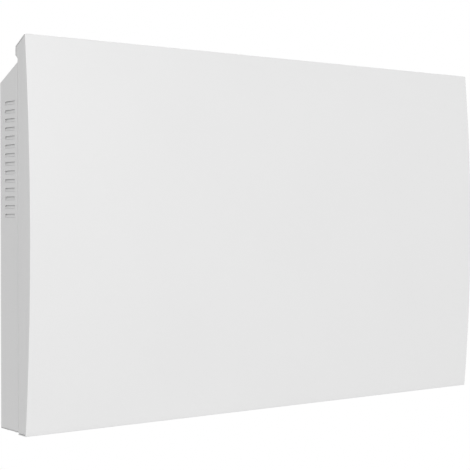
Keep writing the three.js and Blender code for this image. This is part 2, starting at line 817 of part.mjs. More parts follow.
add(bracket, 'bracket_upper_bar', makeBar(0), bracketPaint);
add(bracket, 'bracket_lower_bar', makeBar(-barSpacing), bracketPaint);
for (const [hand, side] of [['left', -1], ['right', 1]]) {
  add(bracket, `bracket_${hand}_rail`, makeBracketRail(side), bracketPaint);
  add(bracket, `${hand}_lock`, makeLock(side), greyPlastic);
  add(heater, `${hand}_side_panel`, makeCheek(side), paint);
  add(heater, `${hand}_upright`, makeUpright(side), galvanised);
  add(heater, `${hand}_panel_rail`, makePanelRail(side), galvanised);
  add(heater, `${hand}_wall_buffer`, makeBuffer(side), rubber);
}

add(heater, 'front_panel', makeFrontPanel(), paint);
add(heater, 'rear_panel', makeRearPanel(), paint);
add(heater, 'top_cover', makeTopCover(), paint);
add(heater, 'base_cover', makeBaseCover(), paint);

add(heater, 'core_tray', makeCoreTray(), galvanised);
add(heater, 'core_top_bar', makeCoreTopBar(), galvanised);
add(heater, 'heat_reflector', makeReflector(), aluminium);
for (let module = 0; module < moduleCount; module += 1) {
  const number = module + 1;
  add(heater, `front_slab_${number}`, makeSlab(module, -1), ceramic);
  add(heater, `rear_slab_${number}`, makeSlab(module, 1), ceramic);
  add(heater, `heating_element_${number}`, tube(elementRoute(module), elementRadius), sheath);
  add(heater, `terminal_bead_${number}a`, makeBead(pinX(module, 0)), steatite);
  add(heater, `terminal_bead_${number}b`, makeBead(pinX(module, 1)), steatite);
}

add(heater, 'jumper_1_2', makeJumper(0), insulation);
add(heater, 'jumper_2_3', makeJumper(1), insulation);
add(heater, 'supply_lead', makeLead(pinX(2, 1), 44, controlX + 58), insulation);
add(heater, 'return_lead', makeLead(pinX(0, 0), 34, controlX + 66), insulation);
add(heater, 'cutout_bracket', makeCutoutBracket(), galvanised);
add(heater, 'thermal_cutout', makeCutout(), steatite);

add(heater, 'terminal_block', makeTerminalBlock(), whitePlastic);
add(heater, 'cable_gland', makeGland(), blackPlastic);
add(heater, 'gland_nut', makeGlandNut(), blackPlastic);
add(heater, 'room_sensor', makeSensor(), blackPlastic);
add(heater, 'sensor_clip', makeSensorClip(), whitePlastic);

add(controls, 'control_housing', makeHousing(), whitePlastic);
add(controls, 'control_bezel', makeBezel(), whitePlastic);
add(controls, 'display_window', makeWindow(), glazing);
add(controls, 'display_module', makeDisplay(), blackPlastic);
add(controls, 'circuit_board', makeBoard(), boardGreen);
['minus', 'plus', 'mode', 'confirm'].forEach((name, i) =>
  add(controls, `button_${name}`, makeButton(i), greyPlastic));
add(controls, 'rocker_housing', makeRockerHousing(), blackPlastic);
add(controls, 'power_rocker', makeRocker(), blackPlastic);

export default radiator;
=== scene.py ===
import math

import bmesh
import bpy
from mathutils import Matrix, Vector


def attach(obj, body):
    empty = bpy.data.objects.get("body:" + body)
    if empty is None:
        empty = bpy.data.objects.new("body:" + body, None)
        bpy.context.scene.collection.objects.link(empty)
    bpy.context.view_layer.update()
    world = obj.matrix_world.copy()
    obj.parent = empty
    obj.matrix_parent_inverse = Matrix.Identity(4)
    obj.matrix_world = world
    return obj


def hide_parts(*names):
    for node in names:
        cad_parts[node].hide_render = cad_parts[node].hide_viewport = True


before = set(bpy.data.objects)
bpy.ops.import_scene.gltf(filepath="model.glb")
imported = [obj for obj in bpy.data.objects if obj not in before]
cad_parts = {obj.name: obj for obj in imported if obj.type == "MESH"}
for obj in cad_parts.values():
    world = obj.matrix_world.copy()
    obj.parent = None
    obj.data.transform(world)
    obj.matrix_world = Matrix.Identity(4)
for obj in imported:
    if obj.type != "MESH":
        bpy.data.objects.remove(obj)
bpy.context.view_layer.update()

# Camera and studio. The radiator hangs in a white studio, seen from its front left, with a pale floor well
# below it. A broad lamp stands far in front, a weak one beside the left cheek, and a third behind. The
# white around it is full to the eye and in reflections, and throws a weaker light.

floor_half, floor_middle, floor_greys = 2.6, (0.3, 0.3, -1.35), (0.80, 0.86)


def set_out(name, data):
    """An object with this data, in the scene."""
    thing = bpy.data.objects.new(name, data)
    bpy.context.scene.collection.objects.link(thing)
    return thing


lens = bpy.data.cameras.new("studio_lens")
lens.lens, lens.sensor_width, lens.clip_end = 98, 36, 60
camera = set_out("studio_camera", lens)
camera.location = (-1.25093, -1.59564, -0.1012)
camera.rotation_euler = (math.radians(89.143), 0, math.radians(-37.907))
bpy.context.scene.camera = camera
bpy.context.scene.view_settings.view_transform = "Standard"


def softbox(name, place, aim, size, watts):
    """A round lamp with a soft edge, turned to what it lights."""
    light = bpy.data.lights.new(name, "AREA")
    light.shape, light.size, light.energy = "DISK", size, watts
    lamp = set_out(name, light)
    lamp.location = place
    lamp.rotation_euler = (Vector(aim) - Vector(place)).to_track_quat("-Z", "Y").to_euler()


softbox("front_softbox", (-0.3, -8, 2.4), (0, -0.1, -0.1), 4, 342)
softbox("side_softbox", (-3.2, -0.5, 0.1), (-0.4, -0.05, -0.1), 1.6, 12.5)
softbox("back_softbox", (1.6, 3.2, 1.6), (0, 0, -0.1), 2, 46)

sky = bpy.data.worlds.new("studio_sky")
sky.use_nodes = True
bpy.context.scene.world = sky
nodes, links = sky.node_tree.nodes, sky.node_tree.links
even, paper = nodes["Background"], nodes.new("ShaderNodeBackground")
for white, strength in ((even, 0.44), (paper, 1)):
    white.inputs["Color"].default_value = (1, 1, 1, 1)
    white.inputs["Strength"].default_value = strength
path = nodes.new("ShaderNodeLightPath")
seen = path.outputs["Is Camera Ray"]
for ray in ("Is Glossy Ray", "Is Transmission Ray"):
    either = nodes.new("ShaderNodeMath")
    either.operation = "MAXIMUM"
    links.new(seen, either.inputs[0])
    links.new(path.outputs[ray], either.inputs[1])
    seen = either.outputs[0]
shown = nodes.new("ShaderNodeMixShader")
links.new(seen, shown.inputs["Fac"])
links.new(even.outputs[0], shown.inputs[1])
links.new(paper.outputs[0], shown.inputs[2])
links.new(shown.outputs[0], nodes["World Output"].inputs["Surface"])

ground = bmesh.new()
bmesh.ops.create_grid(ground, x_segments=1, y_segments=1, size=floor_half,
                      matrix=Matrix.Translation(floor_middle))
floor_mesh = bpy.data.meshes.new("studio_floor")
ground.to_mesh(floor_mesh)
floor = set_out("studio_floor", floor_mesh)
floor_look = bpy.data.materials.new("studio_floor")
floor_look.use_nodes = True
nodes, links = floor_look.node_tree.nodes, floor_look.node_tree.links
nodes["Principled BSDF"].inputs["Roughness"].default_value = 0.9
where = nodes.new("ShaderNodeTexCoord")
mottle = nodes.new("ShaderNodeTexNoise")
mottle.inputs["Scale"].default_value = 1.5
shade = nodes.new("ShaderNodeValToRGB")
for stop, grey in zip(shade.color_ramp.elements, floor_greys):
    stop.color = (grey, grey, grey, 1)
links.new(where.outputs["Object"], mottle.inputs["Vector"])
links.new(mottle.outputs["Fac"], shade.inputs["Fac"])
links.new(shade.outputs["Color"], nodes["Principled BSDF"].inputs["Base Color"])
floor_mesh.materials.append(floor_look)


# Wall bracket, bars: two strips of 2 mm steel with round corners, screwed to the wall through two long
# slots each and spot-welded to the rails. Punched, deburred and powder-coated.

MM = 0.001
wall_bars = {"bracket_upper_bar": 0, "bracket_lower_bar": -280}
bar_half, bar_high, bar_steel, bar_corner, bar_arris = 230, 40, 2, 6, 0.35
screw_slot_long, screw_slot_wide, screw_slot_x = 22, 8, 120
smooth_to = math.radians(34)


def rounded(corners, steps=6):
    """Outline through corners; a third number in a corner is the radius that rounds it."""
    points = [Vector(corner[:2]) for corner in corners]
    outline = []
    for i, corner in enumerate(corners):
        here = points[i]
        radius = corner[2] if len(corner) > 2 else 0
        if not radius:
            outline.append(here)
            continue
        back = (points[i - 1] - here).normalized()
        on = (points[(i + 1) % len(points)] - here).normalized()
        angle = math.acos(max(-1, min(1, back.dot(on)))) / 2
        middle = here + (back + on).normalized() * (radius / math.sin(angle))
        first = here + back * (radius / math.tan(angle)) - middle
        last = here + on * (radius / math.tan(angle)) - middle
        turn = math.atan2(first.x * last.y - first.y * last.x, first.dot(last))
        for k in range(steps + 1):
            outline.append(middle + Matrix.Rotation(turn * k / steps, 2) @ first)
    return outline


def lofted(rings):
    """Closed skin through rings of equally many points."""
    shape = bmesh.new()
    verts = [[shape.verts.new(point) for point in ring] for ring in rings]
    for near, far in zip(verts, verts[1:]):
        for i in range(len(near)):
            shape.faces.new((near[i - 1], near[i], far[i], far[i - 1]))
    shape.faces.new(verts[0][::-1])
    shape.faces.new(verts[-1])
    bmesh.ops.recalc_face_normals(shape, faces=shape.faces)
    return shape


lay = {"x": lambda u, v, w: (w, u, v), "y": lambda u, v, w: (u, w, v), "z": lambda u, v, w: (u, v, w)}


def extruded(outline, axis, start, stop):
    """An outline along X is drawn in (Y, Z), along Y in (X, Z) and along Z in (X, Y)."""
    return lofted([[lay[axis](u, v, w) for u, v in outline] for w in (start, stop)])


def plate(u0, u1, v0, v1, corner, steps=8):
    """Rectangular outline with round corners."""
    return rounded([(u0, v0, corner), (u1, v0, corner), (u1, v1, corner), (u0, v1, corner)], steps)


def deburr(width, angle=40, segments=2):
    """Rounds the edges that are sharper than an angle."""
    return "BEVEL", {"width": width, "segments": segments, "limit_method": "ANGLE",
                     "angle_limit": math.radians(angle)}


def worked(shape, *steps):
    """The mesh that a blank becomes through these modifiers."""
    mesh = shape
    if isinstance(shape, bmesh.types.BMesh):
        mesh = bpy.data.meshes.new("blank")
        shape.to_mesh(mesh)
        shape.free()
    blank = set_out("blank", mesh)
    for kind, settings in steps:
        step = blank.modifiers.new("step", kind)
        for key, value in settings.items():
            if kind == "NODES" and key != "node_group":
                step[step.node_group.interface.items_tree[key].identifier] = value
            else:
                setattr(step, key, value)
    graph = bpy.context.evaluated_depsgraph_get()
    made = bpy.data.meshes.new_from_object(blank.evaluated_get(graph), depsgraph=graph)
    bpy.data.objects.remove(blank)
    return made


def row_tree(name, cuts):
    """Copies of a unit in a straight row, cut out of the sheet or fitted to it."""
    tree = bpy.data.node_groups.new(name, "GeometryNodeTree")
    for label, kind in (("Sheet", "Geometry"), ("Unit", "Object"), ("Count", "Int"), ("First", "Vector"),
                        ("Step", "Vector"), ("Finish", "Material")):
        tree.interface.new_socket(label, in_out="INPUT", socket_type="NodeSocket" + kind)
    tree.interface.new_socket("Sheet", in_out="OUTPUT", socket_type="NodeSocketGeometry")
    given, made = tree.nodes.new("NodeGroupInput"), tree.nodes.new("NodeGroupOutput")
    row, unit, copies, both, real, coat = (tree.nodes.new("GeometryNode" + kind) for kind in (
        "MeshLine", "ObjectInfo", "InstanceOnPoints", "MeshBoolean" if cuts else "JoinGeometry",
        "RealizeInstances", "SetMaterial"))
    if cuts:
        both.operation, both.solver = "DIFFERENCE", "EXACT"
    for near, gives, far, takes in (
            (given, "Count", row, "Count"), (given, "First", row, "Start Location"),
            (given, "Step", row, "Offset"), (given, "Unit", unit, "Object"), (row, "Mesh", copies, "Points"),
            (unit, "Geometry", copies, "Instance"), (copies, "Instances", both, int(cuts)),
            (given, "Sheet", both, 0), (both, 0, real, "Geometry"), (real, "Geometry", coat, "Geometry"),
            (given, "Finish", coat, "Material"), (coat, "Geometry", made, "Sheet")):
        tree.links.new(near.outputs[gives], far.inputs[takes])
    return tree


punched_row = row_tree("punched_row", cuts=True)


def in_row(tree, sheet, unit, look, count=1, first=(0, 0, 0), step=(0, 0, 0)):
    """The sheet after a row tree with this unit."""
    tool = set_out("unit", worked(unit))
    made = worked(sheet, ("NODES", {"node_group": tree, "Unit": tool, "Count": count,
                                    "First": Vector(first), "Step": Vector(step), "Finish": look}))
    bpy.data.objects.remove(tool)
    return made


def punched(sheet, tool, look, **row):
    """The sheet with a row of holes of the tool's shape."""
    return in_row(punched_row, sheet, tool, look, **row)


def pair(x, z=0):
    """A row of two, left and right of the middle."""
    return {"count": 2, "first": (-x, 0, z), "step": (2 * x, 0, 0)}


def long_hole(length, breadth, axis, start, stop, upright=False):
    """Tool that punches a slot with round ends."""
    radius = breadth / 2
    outline = []
    for side in (1, -1):
        for k in range(9):
            angle = math.pi * k / 8 - math.pi / 2
            along = side * (length / 2 - radius + radius * math.cos(angle))
            across = side * radius * math.sin(angle)
            outline.append((across, along) if upright else (along, across))
    return extruded(outline, axis, start, stop)


def piece(name, shape, look, body, slot, *nodes, place=Matrix()):
    """Brings a shape to its place in metres, finishes it, and hangs it on its body."""
    mesh = worked(shape)
    mesh.name = name
    mesh.transform(Matrix.Scale(MM, 4) @ place)
    mesh.materials.clear()
    mesh.materials.append(look)
    mesh.polygons.foreach_set("material_index", [0] * len(mesh.polygons))
    mesh.polygons.foreach_set("use_smooth", [True] * len(mesh.polygons))
    mesh.set_sharp_from_angle(angle=smooth_to)
    made = set_out(name, mesh)
    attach(made, body)
    if nodes:
        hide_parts(*nodes)


def shared_effect(name, *measures):
    """Shader group that takes a vector, a colour and some measures."""
    tree = bpy.data.node_groups.new(name, "ShaderNodeTree")
    kinds = {"Vector": "Vector", "Colour": "Color", **dict.fromkeys(measures, "Float")}
    for label, kind in kinds.items():
        tree.interface.new_socket(label, in_out="INPUT", socket_type="NodeSocket" + kind)
    tree.nodes.new("NodeGroupInput")
    return tree


def feed(tree, socket, value):
    """Gives a socket a number, another socket, or what the group takes under a name."""
    if isinstance(value, (int, float)):
        socket.default_value = value
    else:
        tree.links.new(tree.nodes["Group Input"].outputs[value] if isinstance(value, str) else value, socket)


def reckoned(tree, operation, a, b):
    """A sum, product or the like of two values."""
    node = tree.nodes.new("ShaderNodeMath")
    node.operation = operation
    feed(tree, node.inputs[0], a)
    feed(tree, node.inputs[1], b)
    return node.outputs[0]


def pattern(tree, scale, kind="Noise", output="Fac", vector="Vector", **settings):
    """A noise, cell, wave or brick pattern over the surface."""
    node = tree.nodes.new("ShaderNodeTex" + kind)
    for label, value in {**settings, "Vector": vector, "Scale": scale}.items():
        feed(tree, node.inputs[label.replace("_", " ")], value)
    return node.outputs[output]


def tinted(tree, amount, light, dark, colour="Colour"):
    """The colour, times a grey between dark and light as the amount runs from 0 to 1."""
    grey = tree.nodes.new("ShaderNodeMapRange")
    grey.inputs["To Min"].default_value = dark
    grey.inputs["To Max"].default_value = light
    feed(tree, grey.inputs["Value"], amount)
    mixed = tree.nodes.new("ShaderNodeVectorMath")
    mixed.operation = "SCALE"
    feed(tree, mixed.inputs[0], colour)
    feed(tree, mixed.inputs["Scale"], grey.outputs["Result"])
    return mixed.outputs[0]


def wandering(tree, amount, swing):
    """The roughness, up to half a swing lower or higher."""
    drift = reckoned(tree, "MULTIPLY", reckoned(tree, "SUBTRACT", amount, 0.5), swing)
    return reckoned(tree, "ADD", "Roughness", drift)


def puts_out(tree, **outputs):
    """Names what the group puts out, and closes it."""
    for label in outputs:
        kind = "Color" if label == "Colour" else "Float"
        tree.interface.new_socket(label, in_out="OUTPUT", socket_type="NodeSocket" + kind)
    end = tree.nodes.new("NodeGroupOutput")
    for label, value in outputs.items():
        feed(tree, end.inputs[label], value)


# Powder coat: fine orange peel with a finer grit in it, and a gloss that drifts a little.
powder_coat = shared_effect("powder_coat", "Roughness", "Peel")
peel = pattern(powder_coat, "Peel", Detail=2)
grit = pattern(powder_coat, 5200, Detail=1)
drift = pattern(powder_coat, 7, Detail=3)
puts_out(powder_coat, Colour=tinted(powder_coat, drift, 1.012, 0.988),
         Roughness=wandering(powder_coat, drift, 0.16),
         Height=reckoned(powder_coat, "ADD", peel, reckoned(powder_coat, "MULTIPLY", grit, 0.25)))


def finish(name, group, colour, roughness, bump, depth, **more):
    """A surface whose colour, relief and, where it wanders, roughness come out of a shared effect."""
    look = bpy.data.materials.new(name)
    look.use_nodes = True
    look.diffuse_color = (*colour, 1)
    tree = look.node_tree
    shader = tree.nodes["Principled BSDF"]
    effect = tree.nodes.new("ShaderNodeGroup")
    effect.node_tree = group
    where = tree.nodes.new("ShaderNodeTexCoord")
    relief = tree.nodes.new("ShaderNodeBump")
    values = {"Colour": (*colour, 1), "Roughness": roughness, "Strength": bump, "Distance": depth,
              "IOR": 1.45, "Coat_Roughness": 0.1, **more}
    for label, value in values.items():
        for node in (effect, relief, shader):
            if label.replace("_", " ") in node.inputs:
                node.inputs[label.replace("_", " ")].default_value = value
    tree.links.new(where.outputs["Object"], effect.inputs["Vector"])
    tree.links.new(effect.outputs["Height"], relief.inputs["Height"])
    tree.links.new(effect.outputs["Colour"], shader.inputs["Base Color"])
    tree.links.new(relief.outputs["Normal"], shader.inputs["Normal"])
    if "Roughness" in effect.outputs:
        tree.links.new(effect.outputs["Roughness"], shader.inputs["Roughness"])
    return look


bracket_white = finish("bracket_white", powder_coat, (0.7, 0.7, 0.7), 0.5, 0.25, 0.0004, Peel=900)

for node, z in wall_bars.items():
    outline = plate(-bar_half, bar_half, z - bar_high / 2, z + bar_high / 2, bar_corner)
    slot = long_hole(screw_slot_long, screw_slot_wide, "y", -5, 5)
    bar = punched(extruded(outline, "y", -bar_steel, 0), slot, bracket_white, **pair(screw_slot_x, z))
    piece(node.replace("bracket", "wall"), worked(bar, deburr(bar_arris)), bracket_white, "bracket",
          "bracket_paint", node)


# Wall bracket, rails: hat-shaped strips of 1.5 mm steel, welded to the bars by their feet. Each has two
# hooks bent up for the radiator's back, and a tab on top with the hole for a lock.

hands = (("left", -1), ("right", 1))
rail_x, rail_steel, rail_front, rail_foot = 200, 1.5, -16, -3.8
rail_low, rail_top, rail_half, foot_edge = -300, 84.5, 15, 26
hook_rests, hook_root, hook_far, hook_half = (45, -235), -15.4, -23.5, 12
hook_up, hook_drop, hook_steel = 9, 0.3, 2
lock_y, lock_hole, weld_radius, weld_x, weld_z = -9.3, 3.4, 2.2, 21, 10

fitted_row = row_tree("fitted_row", cuts=False)


def fitted(sheet, unit, look, **row):
    """The sheet with a row of units on it."""
    return in_row(fitted_row, sheet, unit, look, **row)


def together(*parts):
    """One mesh out of several that are welded or moulded in one."""
    whole = bmesh.new()
    for part in parts:
        whole.from_mesh(worked(part))
    return whole


def eased(outline, axis, start, stop, width, *how):
    """An extruded outline with its edges rounded."""
    return worked(extruded(outline, axis, start, stop), deburr(width, *how))


def oblong(half_u, half_v, corner, steps=8):
    return plate(-half_u, half_u, -half_v, half_v, corner, steps)


def disc(radius, steps):
    return oblong(radius, radius, radius - 0.01, steps)


def bent(folds, gauge=1.2, inside=0.8, sink=0):
    """Section of a bent sheet: its fold lines, thickened on the left of their run."""
    points = [Vector(fold) for fold in folds]
    ways = [(b - a).normalized() for a, b in zip(points, points[1:])]
    lefts = [Vector((-way.y, way.x)) for way in ways]

    def side(distance, when_left, when_right):
        corners = []
        for i, point in enumerate(points):
            before, after = lefts[max(i - 1, 0)], lefts[min(i, len(lefts) - 1)]
            mitre = (before + after) * (distance / (1 + before.dot(after)))
            radius = 0
            if 0 < i < len(points) - 1:
                radius = when_left if ways[i - 1].cross(ways[i]) > 0 else when_right
            corners.append((point.x + mitre.x, point.y + mitre.y, radius))
        return corners

    near = side(sink, inside + gauge, inside)
    far = side(sink + gauge, inside, inside + gauge)
    return rounded(near + far[::-1], 5)


for hand, side in hands:
    middle = side * rail_x
    section = [(-foot_edge, rail_foot), (-rail_half, rail_foot), (-rail_half, rail_front),
               (rail_half, rail_front), (rail_half, rail_foot), (foot_edge, rail_foot)]
    hat = bent([(middle + x, y) for x, y in section], gauge=rail_steel, inside=1)
    channel = eased(hat, "z", rail_low, rail_top - rail_steel, 0.3)
    hooks = []
    for rest in hook_rests:
        seat = rest - hook_drop
        hook = bent([(hook_far, rest + hook_up), (hook_far, seat), (hook_root, seat)], hook_steel, 0.6)
        hooks.append(eased(hook, "x", middle - hook_half, middle + hook_half, 0.4))
    tab = extruded(plate(middle - rail_half, middle + rail_half, rail_front, rail_foot + 1, 1.5), "z",
                   rail_top - 2, rail_top)
    tab = worked(punched(tab, extruded(disc(lock_hole, 10), "z", -5, 5), bracket_white,
                         first=(middle, lock_y, rail_top)), deburr(0.3))
    rail = together(channel, tab, *hooks)
    weld = eased(disc(weld_radius, 6), "y", rail_foot - rail_steel - 0.15, rail_foot - 1, 0.12)
    for bar_z in wall_bars.values():
        for foot_x in (-weld_x, weld_x):
            rail = fitted(rail, weld, bracket_white, count=2, first=(middle + foot_x, 0, bar_z - weld_z),
                          step=(0, 0, 2 * weld_z))
    piece(f"{hand}_hook_rail", rail, bracket_white, "bracket", "bracket_paint", f"bracket_{hand}_rail")


# Locks: moulded nylon quarter-turns. The stem snaps into the rail's tab, and the nose swings over the
# back edge of the case so that it can't be lifted off its hooks.

lock_gap, nose_long, nose_half, nose_high = 0.3, 15, 3.5, 3.7

moulded_skin = shared_effect("moulded_skin", "Roughness", "Grain")
flow = pattern(moulded_skin, 38, Detail=3)
puts_out(moulded_skin, Colour=tinted(moulded_skin, flow, 1.05, 0.94),
         Roughness=wandering(moulded_skin, flow, 0.2),
         Height=pattern(moulded_skin, "Grain", "Voronoi", "Distance"))


def turned(profile, axis="z", centre=(0, 0, 0), sides=40):
    """Revolved piece of (radius, height) pairs, closed over the axis or into a ring."""
    shape = bmesh.new()
    turns = [2 * math.pi * k / sides for k in range(sides)]
    rings = [[shape.verts.new(lay[axis](radius * math.cos(turn), radius * math.sin(turn), height))
              for turn in (turns if radius else turns[:1])] for radius, height in profile]
    if len(rings[0]) > 1 and len(rings[-1]) > 1:
        rings.append(rings[0])
    for near, far in zip(rings, rings[1:]):
        for k in range(sides):
            corners = [near[k - 1], near[k]] if len(near) > 1 else [near[0]]
            corners += [far[k], far[k - 1]] if len(far) > 1 else [far[0]]
            shape.faces.new(corners)
    bmesh.ops.recalc_face_normals(shape, faces=shape.faces)
    bmesh.ops.translate(shape, vec=centre, verts=shape.verts)
    return shape


lock_grey = finish("lock_grey", moulded_skin, (0.30, 0.31, 0.32), 0.5, 0.2, 0.0001, Grain=2600)
for hand, side in hands:
    middle, above = side * rail_x, rail_top + lock_gap
    stem = turned([(0, rail_top - 4.5), (3.9, rail_top - 4.5), (4.3, rail_top - 3.9), (4.3, rail_top - 2.9),
                   (3, rail_top - 2.3), (3, above), (6, above), (6.3, above + 0.4), (6.3, above + 4.1),
                   (5.7, above + 4.7), (0, above + 4.7)], centre=(middle, lock_y, 0))
    nose = plate(*sorted((middle, middle + side * nose_long)), lock_y - nose_half, lock_y + nose_half, 2)
    nose = eased(nose, "z", above, above + nose_high, 0.5)
    coin = extruded(oblong(5, 0.8, 0.3, 3), "z", above + 3, above + 6)
    lock = punched(stem, coin, lock_grey, first=(middle, lock_y, 0))
    piece(f"{hand}_quarter_turn", together(lock, nose), lock_grey, f"{hand}_lock", "grey_plastic",
          f"{hand}_lock")


# Cheeks: the case's two ends, drawn from 1.2 mm steel with a flange all round. Fourteen louvres are lanced
# on three sides, each tab leans inwards from its lower edge, and a fine seam runs along the foot.

hung = Matrix.Translation((0, -18, -395))  # the heater's own zero: back of the case, foot of the front
cheek_x, cheek_deep, cheek_steel = 429, 12, 1.2
case_front, case_low, slope_back, slope_front = -48.7, 3.2, 475, 499
lean = (slope_front - slope_back) / -case_front
louvre_count, louvre_pitch, louvre_top, louvre_high = 14, 11.7, 448.5, 4.3
louvre_near, louvre_far, louvre_play = -14, -41.3, 0.35
seam_low, seam_high, seam_deep, seam_ends = 0.4, 1.4, 1.6, 0.9

radiator_white = finish("radiator_white", powder_coat, (0.817, 0.817, 0.817), 0.42, 0.22, 0.0005, Peel=620)


def set_in(outline, distance):
    """A clockwise outline, moved inwards along the mitre at each point."""
    moved = []
    for i, point in enumerate(outline):
        before = (point - outline[i - 1]).normalized()
        after = (outline[(i + 1) % len(outline)] - point).normalized()
        mitre = Vector((before.y + after.y, -before.x - after.x)) / (1 + before.dot(after))
        moved.append(point + mitre * distance)
    return moved


def drawn(outline, *ends):
    """A block along X; each end is its place and the radius that rounds its edges."""
    rings = []
    for side, (x, radius) in zip((-1, 1), sorted(ends)):
        end = [[(x, y, z) for y, z in outline]]
        if radius:
            turns = [math.pi / 2 * k / 6 for k in range(7)]
            end = [[(x - side * radius * (1 - math.sin(turn)), y, z)
                    for y, z in set_in(outline, radius * (1 - math.cos(turn)))] for turn in turns]
        rings += end[::side]
    return lofted(rings)


def on_heater(name, shape, look, slot, *nodes, place=hung):
    piece(name, shape, look, "heater", slot, *nodes, place=place)


cheek_outline = [(0, case_low), (case_front, case_low), (case_front, slope_front), (0, slope_back)]
cheek_hollow = set_in([Vector(corner) for corner in cheek_outline], cheek_steel)
foot_seam = plate(case_front + seam_ends, -seam_ends, case_low + seam_low, case_low + seam_high, 0)
lance = plate(louvre_far, louvre_near, 0, louvre_high, 0)
louvre_tab = bent([(1.6, 4.12), (0, 0.1), (0, -0.7)], gauge=1.1, inside=0.9)
louvre_row = {"count": louvre_count, "first": (0, 0, louvre_top - louvre_high),
              "step": (0, 0, -louvre_pitch)}
for hand, side in hands:
    outer = side * cheek_x
    cheek = drawn(rounded([(y, z, 0.8) for y, z in cheek_outline]), (outer, 0.6),
                  (outer - side * cheek_deep, 0))
    hollow = drawn(rounded([(y, z, 0.4) for y, z in cheek_hollow]), (outer - side * cheek_steel, 0.3),
                   (outer - side * (cheek_deep + 5), 0))
    for tool, row in ((hollow, {}), (extruded(foot_seam, "x", outer - seam_deep, outer + seam_deep), {}),
                      (extruded(lance, "x", outer - side - 2, outer - side + 2), louvre_row)):
        cheek = punched(cheek, tool, radiator_white, **row)
    blade = eased([(outer - side * depth, rise) for depth, rise in louvre_tab], "y",
                  louvre_far + louvre_play, louvre_near - louvre_play, 0.2)
    on_heater(f"{hand}_cheek", fitted(cheek, blade, radiator_white, **louvre_row), radiator_white, "paint",
              f"{hand}_side_panel")


# Back sheet: 1.2 mm steel with a short flange along the top and the foot, set in by its own thickness so
# that its ends lie under the cheeks' flanges. Four slots let the bracket's hooks through.

sheet_half, sheet_end, under, sheet_steel = 415, 426.2, 1.5, 1.2
back_y, back_low, back_flange = -under, 4.7, 8
back_high = slope_back + under * lean - under * math.hypot(1, lean)
flange_half, trim = sheet_half - 8, 40
hook_slots, hook_slot_half, hook_slot_high = (440, 160), 14, 18
buffer_x, buffer_z, buffer_hole = 368, 40, 3.5
gland_x, gland_z, gland_hole = 320, 60, 8.4

folds = [(back_y - back_flange, back_low), (back_y, back_low), (back_y, back_high),
         (back_y - back_flange, back_high + back_flange * lean)]
back_sheet = extruded(bent(folds), "x", -sheet_end, sheet_end)
for half, y_high, z_low, z_high in (
        (flange_half, back_y - sheet_steel, back_low - 5, back_low + 10),
        (flange_half, back_y - sheet_steel, back_high - 8, back_high + 10),
        (sheet_half, back_y + 5, back_low - 5, back_low + 2),
        (sheet_half, back_y + 5, back_high - 4, back_high + 10)):
    corner = extruded(plate(back_y - 20, y_high, z_low, z_high, 0), "x", 0, trim)
    back_sheet = punched(back_sheet, corner, radiator_white, count=2, first=(-half - trim, 0, 0),
                         step=(2 * half + trim, 0, 0))
hook_slot = plate(-hook_slot_half, hook_slot_half, -hook_slot_high, 0, 1.2, 3)
for outline, row in (*((hook_slot, pair(rail_x, z)) for z in hook_slots),
                     (disc(buffer_hole, 8), pair(buffer_x, buffer_z)),
                     (disc(gland_hole, 10), {"first": (gland_x, 0, gland_z)})):
    back_sheet = punched(back_sheet, extruded(outline, "y", -5, 5), radiator_white, **row)
on_heater("back_sheet", back_sheet, radiator_white, "paint", "rear_panel")


# Vented top and base: two folded sheets that close the case. The top slopes down to the wall with a row
# of outlet slots and the cut-out for the controls; the base has the inlet slots.

outlet_count, outlet_pitch, outlet_start, outlet_long, outlet_wide = 45, 14, -396, 27, 6
inlet_count, inlet_pitch, inlet_long, inlet_wide = 30, 24, 26, 5
control_x, control_half_u, control_half_v = 325, 70, 15
joggle_start, joggle_end, top_flange, base_flange, sheet_arris = 415.4, 416.9, 14, 11, (0.22, 60)


def joggled(folds):
    """A folded sheet whose ends step in under the cheeks."""
    stations = ((-sheet_end, under), (-joggle_end, under), (-joggle_start, 0),
                (joggle_start, 0), (joggle_end, under), (sheet_end, under))
    return lofted([[(x, y, z) for y, z in bent(folds, sink=sink)] for x, sink in stations])


def moved(shape, matrix):
    shape.transform(matrix)
    return shape


slope_turn = Matrix.Rotation(-math.atan(lean), 4, "X")
slope_middle = Vector((0, case_front / 2, slope_back - case_front / 2 * lean))
on_slope = Matrix.Translation(slope_middle + Vector((control_x, 0, 0))) @ slope_turn
top = joggled([(-0.2, slope_back + 0.2 * lean), (case_front, slope_front),
               (case_front, slope_front - top_flange)])
outlet = moved(long_hole(outlet_long, outlet_wide, "z", -4, 3, upright=True),
               Matrix.Translation(slope_middle) @ slope_turn @ Matrix.Translation((0, 1, 0)))
control_cut = moved(extruded(oblong(control_half_u, control_half_v, 1), "z", -4, 3), on_slope)
top = punched(top, outlet, radiator_white, count=outlet_count, first=(outlet_start, 0, 0),
              step=(outlet_pitch, 0, 0))
top = punched(top, control_cut, radiator_white)
on_heater("vented_top", worked(top, deburr(*sheet_arris)), radiator_white, "paint", "top_cover")

base = joggled([(case_front, case_low + base_flange), (case_front, case_low), (-0.2, case_low)])
base = punched(base, long_hole(inlet_long, inlet_wide, "z", 0, 8, upright=True), radiator_white,
               count=inlet_count, first=(-inlet_pitch * (inlet_count - 1) / 2, case_front / 2, 0),
               step=(inlet_pitch, 0, 0))
on_heater("vented_base", worked(base, deburr(*sheet_arris)), radiator_white, "paint", "base_cover")


# Case screws: pan-head tapping screws of zinc-plated steel, driven from behind and from below. They hold
# the back sheet's ends to the cheeks, and the base to both.

screw_x, screw_low, screw_pitch, base_screw_y, base_screw_pitch, screw_sink = 422.8, 40, 130, -12, -24, 0.02

